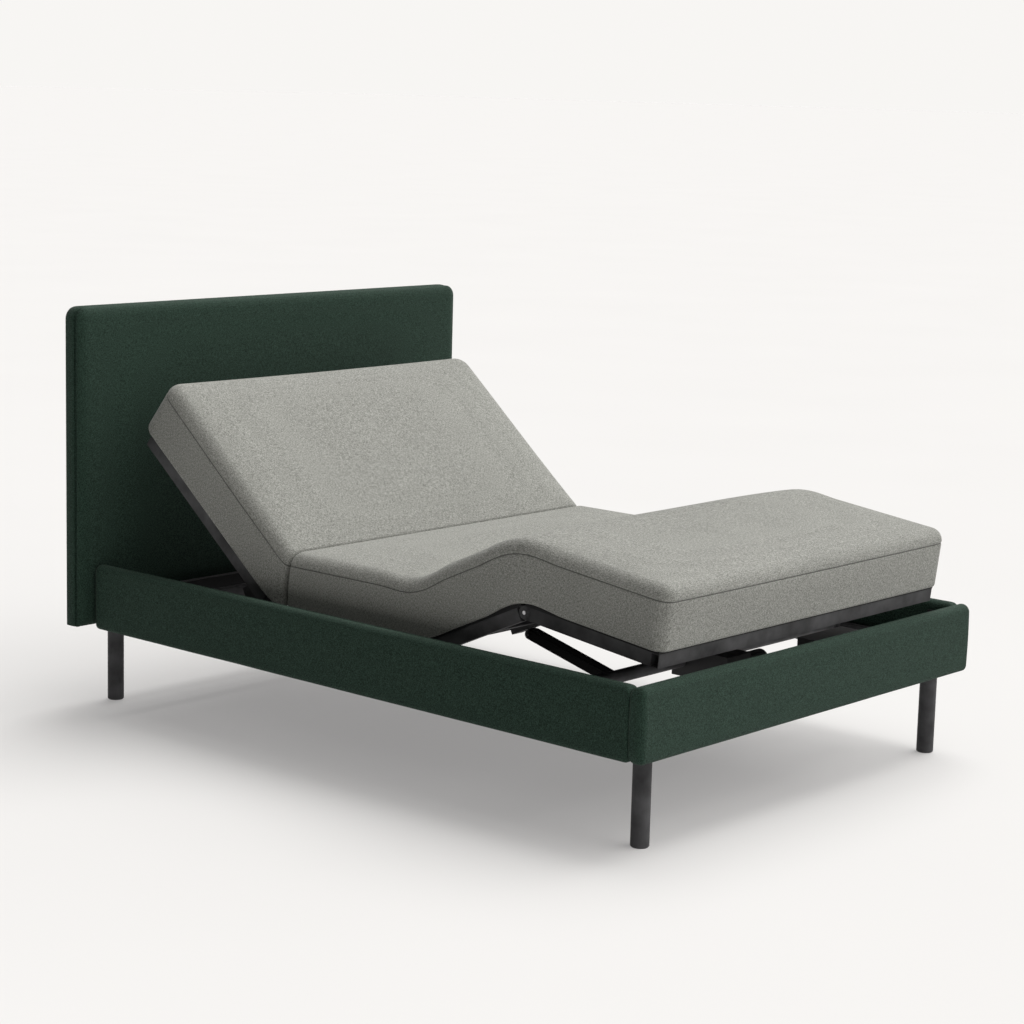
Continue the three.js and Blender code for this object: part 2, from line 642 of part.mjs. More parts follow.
// ---- mattress: one solid for each deck, with open wedges over the hinges so that it can fold ----
function addMattress() {
  const half = mattressWidth / 2 - 1;
  const base = deckTop + gap;
  const high = deckTop + mattressThickness;
  const seatStart = fromFoot(thighHingeFromFoot);
  const seatEnd = fromFoot(headHingeFromFoot);
  const seatHeadGap = 14;
  const seatThighGap = 6;
  const seatWedge = 20;
  const wedgeStart = 60;            // height above the deck from which the seat's thigh end slopes back
  const seat = [[seatStart + seatThighGap, base], [seatEnd - seatHeadGap, base], [seatEnd - seatHeadGap, high],
    [seatStart + seatWedge, high], [seatStart + seatThighGap, base + wedgeStart]];
  addNode(bed, 'mattress_seat', profileAcross(seat, -half, half), greyFabric);

  const hingeGap = 8;
  const headBase = -headAxisLift + gap;
  const headHigh = mattressThickness - headAxisLift;
  const headWedge = 32;
  const backEnd = mattressHead - headHingeFromFoot;
  const back = [[hingeGap, headBase], [backEnd, headBase], [backEnd, headHigh], [headWedge, headHigh],
    [hingeGap, 0]];
  addNode(headSection, 'mattress_back', profileAcross(back, -half, half), greyFabric);

  const thighBase = -thighAxisLift + gap;
  const thighHigh = mattressThickness - thighAxisLift;
  const thighWedge = 38;
  const kneeGap = 4;
  const knee = kneeFromFoot - thighHingeFromFoot;
  const thigh = [[knee + kneeGap, thighBase], [-hingeGap, thighBase], [-hingeGap, 0], [-thighWedge, thighHigh],
    [knee + kneeGap, thighHigh]];
  addNode(thighSection, 'mattress_thigh', profileAcross(thigh, -half, half), greyFabric);

  const length = kneeFromFoot - mattressFoot;
  const calf = rectangle(-length, -kneeGap, kneeDrop + gap, kneeDrop + mattressThickness);
  addNode(calfSection, 'mattress_calf', profileAcross(calf, -half, half), greyFabric);
}

addHeadboard();
addRails();
addFootBrackets();
addHeadBrackets();
addLegs();
addFrameSides();
addFrameCrossTubes();
addSeatDeck();
addGuides();
addHeadSection();
addThighSection();
addCalfSection();
addLift('head', headLift);
addLift('foot', footLift);
addDrive('head', headLift, 1, headDriveLength);
addDrive('foot', footLift, -1, footDriveLength);
addElectrics();
addMattress();

export default bed;
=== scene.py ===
import json
import math

import bpy
import bmesh
import numpy as np
from mathutils import Matrix, Vector, noise


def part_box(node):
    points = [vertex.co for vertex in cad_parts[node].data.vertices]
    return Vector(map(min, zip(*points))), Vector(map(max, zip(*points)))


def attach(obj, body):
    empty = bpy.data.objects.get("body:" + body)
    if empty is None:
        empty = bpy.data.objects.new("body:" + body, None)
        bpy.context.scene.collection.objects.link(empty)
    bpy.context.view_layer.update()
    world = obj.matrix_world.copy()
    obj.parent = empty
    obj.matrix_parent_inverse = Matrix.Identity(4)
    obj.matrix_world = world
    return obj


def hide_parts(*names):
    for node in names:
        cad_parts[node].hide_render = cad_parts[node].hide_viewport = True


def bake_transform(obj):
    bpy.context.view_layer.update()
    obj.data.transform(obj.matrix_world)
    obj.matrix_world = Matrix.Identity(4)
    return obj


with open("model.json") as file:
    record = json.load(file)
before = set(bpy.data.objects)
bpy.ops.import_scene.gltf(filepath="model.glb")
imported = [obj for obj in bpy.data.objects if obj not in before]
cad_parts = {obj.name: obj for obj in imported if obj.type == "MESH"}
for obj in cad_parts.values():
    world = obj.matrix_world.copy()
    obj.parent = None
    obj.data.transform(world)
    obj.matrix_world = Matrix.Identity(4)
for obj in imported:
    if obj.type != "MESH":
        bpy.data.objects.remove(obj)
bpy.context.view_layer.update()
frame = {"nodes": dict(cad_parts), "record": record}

behaviour = frame["record"]["behaviour"]
joints = {joint["name"]: joint for joint in behaviour["joints"]}
ratios = {coupling["joint"]: coupling["ratio"] for coupling in behaviour["couplings"]}

# ---- the bed as it stands: turning axes as (y, z), and how far each section is turned from flat ----
head_axis = np.array(joints["head_lift"]["pos_m"][1:])
thigh_axis = np.array(joints["thigh_lift"]["pos_m"][1:])
knee_axis = np.array(joints["knee_fold"]["pos_m"][1:])
head_turn = math.radians(-joints["head_lift"]["range_deg"][0])
thigh_turn = math.radians(joints["thigh_lift"]["range_deg"][0])
knee_turn = -ratios["knee_fold"] * thigh_turn

# ---- mattress ----
head_reach = 0.070                 # how far along each side of a turning axis the mattress bends
thigh_reach = 0.120
knee_reach = 0.130
gap = 0.005                        # between the two cushions
crevice_lean = 0.019               # how far the seat cushion's end leans away over its height
lean_reach = 0.15                  # and how far from the crevice that is felt
crevice_bow = 0.006                # how far both ends at the crevice bow
bow_reach = 0.10                   # and how far into the back cushion that is felt
hinge_lift = 0.004                 # how far the underside rises over the thigh hinge
hinge_spread = 0.06
deck_start = 0.055                 # from here up the head deck, the back cushion lies on it
cover_overhang = 0.005             # how far the cover stands out past its CAD solid
cover_slack = 0.002                # a cushion is modelled this much smaller than its cover, and then swells
back_extra = 0.002                 # what the back cushion's cover has at its upper end besides the overhang
back_thicker = 0.010               # how much thicker the back cushion is there
edge_round = 0.034                 # of the top edges
lower_round = 0.010                # of the lower edges
seam_drop = 0.037                  # from the top down to the seam
cushion_crown = 0.006              # how far the middle of the top stands out
crevice_softness = 0.36            # the share of the edges' rounding that the ends at the crevice have
lip_drop = 0.011                   # how far the lower edge hangs below the top of the deck
lip_inside = 0.0135                # from the mattress's side in to the inner face of that hanging edge
lip_end = 0.03                     # nearer to the crevice than this, only the sides have the hanging edge
lip_side = 0.010                   # how far in from the CAD mattress's side they keep it there
corner_at_foot = 0.034             # radii of the cushions' corners, seen from above
corner_at_head = 0.050
corner_at_crevice = 0.014

# the cloth simulation of the cushions, in its own units
pressure = 0.15                    # of the filling
stretch_stiffness = 60
shear_stiffness = 30
bend_stiffness = 6.0
cloth_frames = 20
largest_move = 0.009
held_height = 0.0005               # the cover is held below this height
held_end = 0.012                   # and within about this distance of the crevice

# ---- stitched seams: (distance from the seam, depth, is the seam) across one, and its free width ----
seam_groove = [(-0.0045, -0.0005, 0.0), (-0.0017, 0.0006, 0.0), (-0.0007, 0.0018, 1.0),
               (0.0007, 0.0018, 1.0), (0.0017, 0.0006, 0.0), (0.0045, -0.0005, 0.0)]
seam_clearance = 0.0055
round_steps = 6                    # mesh steps round an edge
row_spacing = 0.012                # between the mesh rows of a padded wall

# ---- rails ----
rail_low_round = 0.013
rail_high_round = 0.0192
rail_swell = 0.0015
rail_unevenness = 0.0006
rail_waves = 4.0                   # of that unevenness, about that many in a metre

# ---- headboard, from the front face of its CAD pad towards the back ----
pad_crown = 0.003
strip_near = 0.0220
strip_far = 0.0262
band_after_strip = 0.0030
headboard_corner = 0.034
headboard_swell = 0.004            # how far the cover stands out past the CAD pad at the sides
pad_hidden = 0.012                 # how far the pad's sides lie inside the strip and the band
pad_edge_depth = 0.0160            # the rounded edge of the front pad
pad_edge_width = 0.034
pad_unevenness = 0.0012
pad_waves = 3.0
skin = 0.0005                      # keeps covers from lying exactly in each other

# ---- the CAD nodes' edges; angles in degrees ----
edge_bevel = 0.0012
bevelled_above = 50
smooth_below = 32

# ---- camera and light; angles in degrees ----
camera_place = (-5.0349, -4.4181, 1.7513)
camera_yaw = 48.591                # from +Y towards +X
camera_pitch = 9.733               # downwards
camera_roll = 1.494
focal_length = 87.0                # in millimetres, for a sensor 36 mm wide
floor_size = 300.0                 # from the middle to a side
floor_dark = (0.442, 0.440, 0.436)
floor_light = (0.454, 0.452, 0.448)
floor_glow = (1.0, 0.980, 0.975)
floor_glow_strength = 0.28         # lifts the shadow under the bed
backdrop = (0.9335, 0.9195, 0.8990)     # the lit floor's own colour, so that no horizon shows
studio_colour = (1.0, 0.985, 0.965)
studio_side = (0.56, -0.40, 0.72)  # where the broad soft light comes from
studio_focus = 2.5
studio_strength = 2.35
studio_base = 0.09                 # the same all round
key_side = (0.48, 0.10, 0.87)
key_colour = (1.0, 0.99, 0.975)
key_energy = 2.2
key_angle = 45


def mesh_points(node):
    """The (y, z) of every vertex of a CAD node, at rest."""
    return np.array([vertex.co[1:] for vertex in frame["nodes"][node].data.vertices])


def turned(points, centre, angle):
    """(y, z) points turned about a line along X; a positive angle lifts what is towards the head."""
    y, z = (points - centre).T
    c, s = np.cos(angle), np.sin(angle)
    return centre + np.stack([y * c - z * s, y * s + z * c], axis=1)


def smooth_share(t):
    t = np.clip(t, 0.0, 1.0)
    return t * t * (3.0 - 2.0 * t)


def bent(points, centre, angle, direction, reach):
    placed = points.copy()
    for _ in range(60):                # until each point and its own share of the bend agree
        share = smooth_share(((placed - centre) @ direction + reach) / (2.0 * reach))
        placed = 0.5 * placed + 0.5 * turned(points, centre, share * angle)
    return placed


# ---- mesh building ----
def graded(count, edge, edge_count):
    """Values from 0 to 1 with edge_count steps inside each end's share `edge`, and the rest even."""
    ends = np.linspace(0.0, edge, edge_count + 1)
    middle = np.linspace(edge, 1.0 - edge, count - 2 * edge_count + 1)
    return np.concatenate([ends, middle[1:-1], 1.0 - ends[::-1]])


def rounded_plan(u, v, half, low, high, corner_low, corner_high):
    """Grid points (u, v from 0 to 1) over a rectangle with rounded corners."""
    x = (2.0 * u - 1.0) * half
    y = low + v * (high - low)
    middle = (low + high) / 2.0
    corner = np.where(y < middle, corner_low, corner_high)
    corner = np.minimum(corner, min(half, (high - low) / 2.0))
    inner_x = half - corner
    inner_y = (high - low) / 2.0 - corner
    a = (np.abs(x) - inner_x) / corner
    b = (np.abs(y - middle) - inner_y) / corner
    inside = (a > 0.0) & (b > 0.0)
    a2, b2 = np.clip(a, 0, 1), np.clip(b, 0, 1)
    round_a = a2 * np.sqrt(1.0 - b2 * b2 / 2.0)
    round_b = b2 * np.sqrt(1.0 - a2 * a2 / 2.0)
    x = np.where(inside, np.sign(x) * (inner_x + round_a * corner), x)
    y = np.where(inside, middle + np.sign(y - middle) * (inner_y + round_b * corner), y)
    return x, y


def wall_rows(height, low_round, high_round, swell=0.0, seam_height=None, lip=0.0):
    """Rows of a padded wall as (height, offset inwards, is the seam), from the bottom face to the top face.

    With a lip, the wall hangs that far below the bottom face, around the edge of what the cushion lies on.
    """
    rows = []
    if lip:                            # first its inner face, round the deck's edge
        rows += [(0.0, lip_inside + 0.004, 0.0),
                 (-0.0006, lip_inside, 0.0),
                 (-lip * 0.6, lip_inside - 0.0010, 0.0)]
    for i in range(round_steps + 1):
        angle = i / round_steps * math.pi / 2
        rows.append((low_round * (1 - math.cos(angle)) - lip, low_round * (1 - math.sin(angle)), 0.0))
    side_low, side_high = rows[-1][0], height - high_round
    count = max(2, round((side_high - side_low) / row_spacing))
    for i in range(1, count):
        rows.append((side_low + (side_high - side_low) * i / count, 0.0, 0.0))
    for i in range(round_steps + 3):
        angle = i / (round_steps + 2) * math.pi / 2
        rows.append((height - high_round * (1 - math.sin(angle)), high_round * (1 - math.cos(angle)), 0.0))
    if seam_height is not None:
        rows = [row for row in rows if abs(row[0] - seam_height) > seam_clearance]
        at = sum(row[0] < seam_height for row in rows)
        offset = np.interp(seam_height, [row[0] for row in rows], [row[1] for row in rows])
        rows[at:at] = [(seam_height + dz, offset + depth, seam) for dz, depth, seam in seam_groove]
    return [(z, offset - swell * math.sin(math.pi * z / height), seam) for z, offset, seam in rows]


def padded_mesh(name, limits, rows, corners, grid, crown, place, end_share=(1.0, 1.0)):
    """A closed padded form over a rounded rectangle.

    limits is (half width, low end, high end), and rows is a list like that of wall_rows. corners holds the
    plan's corner radii at the low and high end, and grid its (u, v) values. crown is how far the middle of
    the bottom and of the top stands out. place turns an array of flat (across, along, up) points into
    positions. end_share scales the rounding at the low and high end.
    """
    half, low, high = limits
    us, vs = grid
    nu, nv = len(us) - 1, len(vs) - 1
    ring = [(i, 0) for i in range(nu)] + [(nu, j) for j in range(nv)]
    ring += [(i, nv) for i in range(nu, 0, -1)] + [(0, j) for j in range(nv, 0, -1)]
    ring_u = np.array([us[i] for i, _ in ring])
    ring_v = np.array([vs[j] for _, j in ring])

    def plan(u, v, offset):
        radii = [max(0.002, radius - offset * share) for radius, share in zip(corners, end_share)]
        start = low + offset * end_share[0]
        end = high - offset * end_share[1]
        return rounded_plan(u, v, half - offset, start, end, *radii)

    # the wall
    points, seams, faces = [], [], []
    for height, offset, seam in rows:
        x, s = plan(ring_u, ring_v, offset)
        points.append(np.stack([x, s, np.full_like(x, height)], axis=1))
        seams.append(np.full(len(x), seam))
    count = len(ring)
    for row in range(len(rows) - 1):
        for k in range(count):
            a, b = row * count + k, row * count + (k + 1) % count
            faces.append((a, b, b + count, a + count))
    # the bottom and the top, each a grid that shares its border with the wall
    base = len(rows) * count
    for first, sign in ((0, -1.0), (len(rows) - 1, 1.0)):
        height, offset, _ = rows[first]
        u, v = [array.ravel() for array in np.meshgrid(us, vs, indexing="ij")]
        x, s = plan(u, v, offset)
        swell = sign * crown[0 if sign < 0 else 1] * (1 - (2 * u - 1) ** 4) * (1 - (2 * v - 1) ** 8)
        cap = np.stack([x, s, height + swell], axis=1)
        index = {}
        for k, key in enumerate(ring):
            index[key] = first * count + k
        inner = [(i, j) for i in range(1, nu) for j in range(1, nv)]
        for k, key in enumerate(inner):
            index[key] = base + k
        points.append(np.array([cap[i * (nv + 1) + j] for i, j in inner]))
        seams.append(np.zeros(len(inner)))
        base += len(inner)
        for i in range(nu):
            for j in range(nv):
                quad = [index[i, j], index[i + 1, j], index[i + 1, j + 1], index[i, j + 1]]
                faces.append(tuple(quad if sign > 0 else quad[::-1]))
    # the mesh, with the flat places kept for the cloth's weave
    flat = np.concatenate(points)
    mesh = bpy.data.meshes.new(name)
    mesh.from_pydata(place(flat).tolist(), [], faces)
    weave = mesh.attributes.new("weave", "FLOAT_VECTOR", "POINT")
    weave.data.foreach_set("vector", flat.astype(np.float32).ravel())
    stitched = mesh.attributes.new("stitched", "FLOAT", "POINT")
    stitched.data.foreach_set("value", np.concatenate(seams).astype(np.float32))
    tidy_normals(mesh)
    obj = bpy.data.objects.new(name, mesh)
    bpy.context.scene.collection.objects.link(obj)
    return obj


def tidy_normals(mesh):
    """Turns all faces outwards and shades them smoothly."""
    bm = bmesh.new()
    bm.from_mesh(mesh)
    bmesh.ops.recalc_face_normals(bm, faces=bm.faces)
    bm.to_mesh(mesh)
    bm.free()
    mesh.polygons.foreach_set("use_smooth", [True] * len(mesh.polygons))
    mesh.update()


def positions(obj):
    co = np.empty(len(obj.data.vertices) * 3)
    obj.data.vertices.foreach_get("co", co)
    return co.reshape(-1, 3)


def set_positions(obj, points):
    obj.data.vertices.foreach_set("co", np.ascontiguousarray(points, dtype=np.float32).ravel())
    obj.data.update()


def apply_modifiers(obj):
    """Replaces an object's mesh with what its modifiers make of it."""
    evaluated = obj.evaluated_get(bpy.context.evaluated_depsgraph_get())
    mesh = bpy.data.meshes.new_from_object(evaluated)
    obj.modifiers.clear()
    old = obj.data
    obj.data = mesh
    bpy.data.meshes.remove(old)


def subdivided(obj):
    obj.modifiers.new("subdivision", "SUBSURF").levels = 1
    bpy.context.view_layer.update()
    apply_modifiers(obj)
    obj.data.polygons.foreach_set("use_smooth", [True] * len(obj.data.polygons))


def woven_places(obj):
    """Where each vertex lies in the flat cushion: across it, along it and up from the deck."""
    places = np.empty(len(obj.data.vertices) * 3)
    obj.data.attributes["weave"].data.foreach_get("vector", places)
    return places.reshape(-1, 3)


def swollen(obj, held):
    """Lets a cushion's cover swell under the pressure of its filling.

    The held vertices stay where they are. If any point would move further than largest_move, the whole
    swelling is scaled down.
    """
    before = positions(obj)
    group = obj.vertex_groups.new(name="held")
    group.add(np.flatnonzero(held).tolist(), 1.0, "REPLACE")
    cloth = obj.modifiers.new("filling", "CLOTH")
    settings = cloth.settings
    settings.quality = 5
    settings.mass = 0.3
    settings.tension_stiffness = stretch_stiffness
    settings.compression_stiffness = stretch_stiffness
    settings.shear_stiffness = shear_stiffness
    settings.bending_stiffness = bend_stiffness
    settings.use_pressure = True
    settings.uniform_pressure_force = pressure
    settings.vertex_group_mass = "held"
    settings.effector_weights.gravity = 0.0
    cloth.collision_settings.use_collision = False
    cloth.point_cache.frame_start = 1
    cloth.point_cache.frame_end = cloth_frames
    scene = bpy.context.scene
    for step in range(1, cloth_frames + 1):
        scene.frame_set(step)
    evaluated = obj.evaluated_get(bpy.context.evaluated_depsgraph_get())
    after = np.array([vertex.co for vertex in evaluated.data.vertices])
    obj.modifiers.clear()
    obj.vertex_groups.clear()
    scene.frame_set(1)
    move = after - before
    move *= min(1.0, largest_move / np.linalg.norm(move, axis=1).max())
    set_positions(obj, before + move)


# ---- finishes ----
class Finish:
    """A procedural material under construction."""

    def __init__(self, name, roughness=0.5, **values):
        self.material = bpy.data.materials.new(name)
        self.material.use_nodes = True
        self.tree = self.material.node_tree
        self.shader = self.tree.nodes["Principled BSDF"]
        self.shader.inputs["Roughness"].default_value = roughness
        for key, value in values.items():
            self.shader.inputs[key.replace("_", " ")].default_value = value

    def node(self, kind, **properties):
        made = self.tree.nodes.new(kind)
        for key, value in properties.items():
            setattr(made, key, value)
        return made

    def link(self, output, target):
        self.tree.links.new(output, target)

    def coordinates(self, attribute=None):
        if attribute:
            return self.node("ShaderNodeAttribute", attribute_name=attribute).outputs["Vector"]
        return self.node("ShaderNodeTexCoord").outputs["Object"]

    def noise(self, where, scale, detail=2.0, stretch=(1, 1, 1)):
        scaled = self.node("ShaderNodeVectorMath", operation="MULTIPLY")
        self.link(where, scaled.inputs[0])
        scaled.inputs[1].default_value = stretch
        made = self.node("ShaderNodeTexNoise")
        made.inputs["Scale"].default_value = scale
        made.inputs["Detail"].default_value = detail
        self.link(scaled.outputs[0], made.inputs["Vector"])
        return made.outputs["Fac"]

    def wave(self, where, axis, period):
        """Bands across an axis. At a scale of 1 the texture has 20 radians of wave in a metre."""
        made = self.node("ShaderNodeTexWave", bands_direction=axis)
        made.inputs["Scale"].default_value = 2.0 * math.pi / 20.0 / period
        self.link(where, made.inputs["Vector"])
        return made.outputs["Fac"]

    def math(self, operation, a, b, c=None):
        made = self.node("ShaderNodeMath", operation=operation)
        for socket, value in zip(made.inputs, (a, b, c)):
            if isinstance(value, (int, float)):
                socket.default_value = value
            elif value is not None:
                self.link(value, socket)
        return made.outputs[0]

    def ramp(self, factor, stops):
        made = self.node("ShaderNodeValToRGB")
        elements = made.color_ramp.elements
        while len(elements) < len(stops):
            elements.new(0.5)
        for element, (place, colour) in zip(elements, stops):
            element.position = place
            element.color = (*colour, 1.0)
        self.link(factor, made.inputs["Fac"])
        return made.outputs["Color"]

    def mix(self, factor, a, b):
        """A mixture of two colours, which are the mix node's sockets 6 and 7."""
        made = self.node("ShaderNodeMix", data_type="RGBA")
        self.link(factor, made.inputs["Factor"])
        for socket, value in zip((made.inputs[6], made.inputs[7]), (a, b)):
            if isinstance(value, tuple):
                socket.default_value = (*value, 1.0)
            else:
                self.link(value, socket)
        return made.outputs[2]

    def bump(self, height, strength, distance):
        made = self.node("ShaderNodeBump")
        made.inputs["Strength"].default_value = strength
        made.inputs["Distance"].default_value = distance
        self.link(height, made.inputs["Height"])
        self.link(made.outputs["Normal"], self.shader.inputs["Normal"])

    def colour(self, output):
        self.link(output, self.shader.inputs["Base Color"])

    def rough(self, output):
        self.link(output, self.shader.inputs["Roughness"])


def woven(name, dark, light, seam, period, sheen, contrast, streak):
    """Melange upholstery cloth: slubs along the yarns, a fine plain weave, and a darker line at the seams.

    period is that of the weave, streak the length of a slub, and contrast how much the slubs differ.
    """
    finish = Finish(name, roughness=0.9, Sheen_Weight=sheen, Sheen_Roughness=0.45, Specular_IOR_Level=0.2)
    where = finish.coordinates("weave")
    long, short = 1.0 / streak, 3.8 / streak
    slubs = [finish.noise(where, scale=1.0, detail=2.0, stretch=stretch) for stretch in
             ((long, short, short), (short, long, short), (short, short, long))]
    yarn = finish.math("ADD", finish.math("ADD", slubs[0], slubs[1]), slubs[2])
    broad = finish.noise(where, scale=9.0, detail=3.0)
    middle_tone = 0.44 - 1.5 * contrast          # with this, the mean tone is half way up the ramp
    cloud = finish.math("MULTIPLY_ADD", broad, 0.12, middle_tone)
    tone = finish.math("MULTIPLY_ADD", yarn, contrast, cloud)
    cloth = finish.ramp(tone, ((0.22, dark), (0.78, light)))
    stitched = finish.node("ShaderNodeAttribute", attribute_name="stitched").outputs["Fac"]
    finish.colour(finish.mix(stitched, cloth, seam))
    waves = [finish.wave(where, axis, period) for axis in "XYZ"]
    crossings = [finish.math("MULTIPLY", waves[a], waves[b]) for a, b in ((0, 1), (1, 2), (0, 2))]
    weave = finish.math("ADD", crossings[0], finish.math("ADD", crossings[1], crossings[2]))
    finish.bump(finish.math("MULTIPLY_ADD", yarn, 0.8, weave), strength=0.35, distance=0.0007)
    finish.rough(finish.math("MULTIPLY_ADD", yarn, -0.12, 1.04))
    return finish.material


def coated_steel(name, dark, light, rubbed_and_highlight, roughness):
    """Powder-coated steel: a fine orange peel, faint marks, and a paler edge that is partly rubbed wear and
    partly a painted highlight.
    """
    finish = Finish(name, Metallic=0.0, Specular_IOR_Level=0.05)
    where = finish.coordinates()
    marks = finish.noise(where, scale=14.0, detail=4.0)
    # paler colour on sharp edges: partly wear, partly a painted highlight along the edges
    edge = finish.ramp(finish.node("ShaderNodeNewGeometry").outputs["Pointiness"],
                       ((0.52, (0, 0, 0)), (0.60, (1, 1, 1))))
    wear_and_highlight = finish.math("MULTIPLY", edge, marks)
    finish.colour(finish.mix(wear_and_highlight, finish.ramp(marks, ((0.3, dark), (0.7, light))), rubbed_and_highlight))
    finish.rough(finish.math("MULTIPLY_ADD", marks, 0.16, roughness - 0.08))
    finish.bump(finish.noise(where, scale=900.0, detail=1.0), strength=0.08, distance=0.0004)
    return finish.material


def felted_board(name, dark, light):
    """Felt-covered board: short fibres over a broad, faint cloud."""
    finish = Finish(name, Sheen_Weight=0.1, Sheen_Roughness=0.6, Specular_IOR_Level=0.15)
    where = finish.coordinates()
    fibres = finish.noise(where, scale=650.0, detail=3.0)
    cloud = finish.noise(where, scale=8.0, detail=3.0)
    tone = finish.math("MULTIPLY_ADD", fibres, 0.6, finish.math("MULTIPLY", cloud, 0.4))
    finish.colour(finish.ramp(tone, ((0.3, dark), (0.7, light))))
    finish.rough(finish.math("MULTIPLY_ADD", fibres, 0.1, 0.85))
    finish.bump(fibres, strength=0.3, distance=0.0006)
    return finish.material


def moulded_plastic(name, dark, light, roughness):
    """Moulded plastic with a fine spark-eroded grain."""
    finish = Finish(name, Specular_IOR_Level=0.45)
    where = finish.coordinates()
    cloud = finish.noise(where, scale=20.0, detail=3.0)
    finish.colour(finish.ramp(cloud, ((0.3, dark), (0.7, light))))
    finish.rough(finish.math("MULTIPLY_ADD", cloud, 0.14, roughness - 0.07))
    finish.bump(finish.noise(where, scale=1100.0, detail=1.0), strength=0.15, distance=0.0004)
    return finish.material


def plated_steel(name, dark, light):
    """Zinc-plated steel, brushed along X."""
    finish = Finish(name, Metallic=1.0)
    where = finish.coordinates()
    brushed = finish.noise(where, scale=1.0, detail=3.0, stretch=(40.0, 1500.0, 1500.0))
    finish.colour(finish.ramp(brushed, ((0.3, dark), (0.7, light))))
    finish.rough(finish.math("MULTIPLY_ADD", brushed, 0.2, 0.25))
    finish.bump(brushed, strength=0.1, distance=0.0003)
    return finish.material


green_cloth = woven("green_weave", dark=(0.006, 0.018, 0.011), light=(0.029, 0.060, 0.043),
                    seam=(0.002, 0.005, 0.003), period=0.0021, sheen=0.05, contrast=3.2, streak=0.0046)
grey_cloth = woven("grey_melange", dark=(0.153, 0.156, 0.142), light=(0.356, 0.360, 0.334),
                   seam=(0.085, 0.087, 0.080), period=0.0018, sheen=0.12, contrast=1.5, streak=0.0062)
# the paler edge colour of the black steel is partly wear and partly a painted highlight
black_coat = coated_steel("black_steel", dark=(0.004, 0.004, 0.004), light=(0.008, 0.008, 0.008),
                          rubbed_and_highlight=(0.14, 0.14, 0.145), roughness=0.45)
felt = felted_board("black_board", dark=(0.006, 0.006, 0.007), light=(0.016, 0.016, 0.017))
black_plastic = moulded_plastic("black_plastic", dark=(0.010, 0.010, 0.011), light=(0.018, 0.018, 0.019),
                                roughness=0.5)
nylon = moulded_plastic("nylon", dark=(0.022, 0.022, 0.023), light=(0.034, 0.034, 0.035), roughness=0.45)
zinc = plated_steel("zinc_steel", dark=(0.36, 0.36, 0.37), light=(0.55, 0.55, 0.56))
finishes = {"green_weave": green_cloth, "grey_melange": grey_cloth, "black_steel": black_coat,
            "black_board": felt, "black_plastic": black_plastic, "nylon": nylon, "zinc_steel": zinc}


def softened_edges():
    """Shades a CAD node's round faces smoothly and leaves its real edges crisp."""
    group = bpy.data.node_groups.new("smooth_by_angle", "GeometryNodeTree")
    group.interface.new_socket("Geometry", in_out="INPUT", socket_type="NodeSocketGeometry")
    group.interface.new_socket("Geometry", in_out="OUTPUT", socket_type="NodeSocketGeometry")
    entry = group.nodes.new("NodeGroupInput")
    leave = group.nodes.new("NodeGroupOutput")
    faces = group.nodes.new("GeometryNodeSetShadeSmooth")
    edges = group.nodes.new("GeometryNodeSetShadeSmooth")
    edges.domain = "EDGE"
    angle = group.nodes.new("GeometryNodeInputMeshEdgeAngle")
    compare = group.nodes.new("FunctionNodeCompare")
    compare.data_type = "FLOAT"
    compare.operation = "LESS_THAN"
    compare.inputs[1].default_value = math.radians(smooth_below)
    group.links.new(entry.outputs[0], faces.inputs["Geometry"])
    group.links.new(faces.outputs[0], edges.inputs["Geometry"])
    group.links.new(angle.outputs["Unsigned Angle"], compare.inputs[0])
    group.links.new(compare.outputs[0], edges.inputs["Shade Smooth"])
    group.links.new(edges.outputs[0], leave.inputs[0])
    return group


def finish_cad_nodes():
    """Gives every CAD node its finish, narrow bevels and clean shading."""
    smoothing = softened_edges()
    slots = {part["node"]: part["material_slot"] for part in frame["record"]["subparts"]}
    for name, obj in frame["nodes"].items():
        material = finishes[slots[name]]
        if not obj.data.materials:
            obj.data.materials.append(material)
        for slot in obj.material_slots:
            slot.material = material
        bevel = obj.modifiers.new("edge", "BEVEL")
        bevel.width = edge_bevel
        bevel.segments = 2
        bevel.limit_method = "ANGLE"
        bevel.angle_limit = math.radians(bevelled_above)
        obj.modifiers.new("shading", "NODES").node_group = smoothing


# ---- camera, light and floor ----
def add_camera():
    data = bpy.data.cameras.new("camera")
    data.lens = focal_length
    data.sensor_width = 36.0
    camera = bpy.data.objects.new("camera", data)
    bpy.context.scene.collection.objects.link(camera)
    yaw, pitch, roll = [math.radians(angle) for angle in (camera_yaw, camera_pitch, camera_roll)]
    forward = Vector((math.sin(yaw) * math.cos(pitch), math.cos(yaw) * math.cos(pitch), -math.sin(pitch)))
    level = Vector((math.cos(yaw), -math.sin(yaw), 0.0))
    up = level.cross(forward)
    right = math.cos(roll) * level + math.sin(roll) * up
    top = -math.sin(roll) * level + math.cos(roll) * up
    axes = Matrix((right, top, -forward)).transposed().to_4x4()
    camera.matrix_world = Matrix.Translation(camera_place) @ axes
    bpy.context.scene.camera = camera


def add_floor():
    mesh = bpy.data.meshes.new("floor")
    corners = [(x * floor_size, y * floor_size, 0) for x, y in ((-1, -1), (1, -1), (1, 1), (-1, 1))]
    mesh.from_pydata(corners, [], [(0, 1, 2, 3)])
    floor = bpy.data.objects.new("floor", mesh)
    bpy.context.scene.collection.objects.link(floor)
    finish = Finish("floor", roughness=1.0, Specular_IOR_Level=0.0)
    cloud = finish.noise(finish.coordinates(), scale=0.8, detail=2.0)
    finish.colour(finish.ramp(cloud, ((0.2, floor_dark), (0.8, floor_light))))
    finish.shader.inputs["Emission Color"].default_value = (*floor_glow, 1.0)
    finish.shader.inputs["Emission Strength"].default_value = floor_glow_strength
    mesh.materials.append(finish.material)


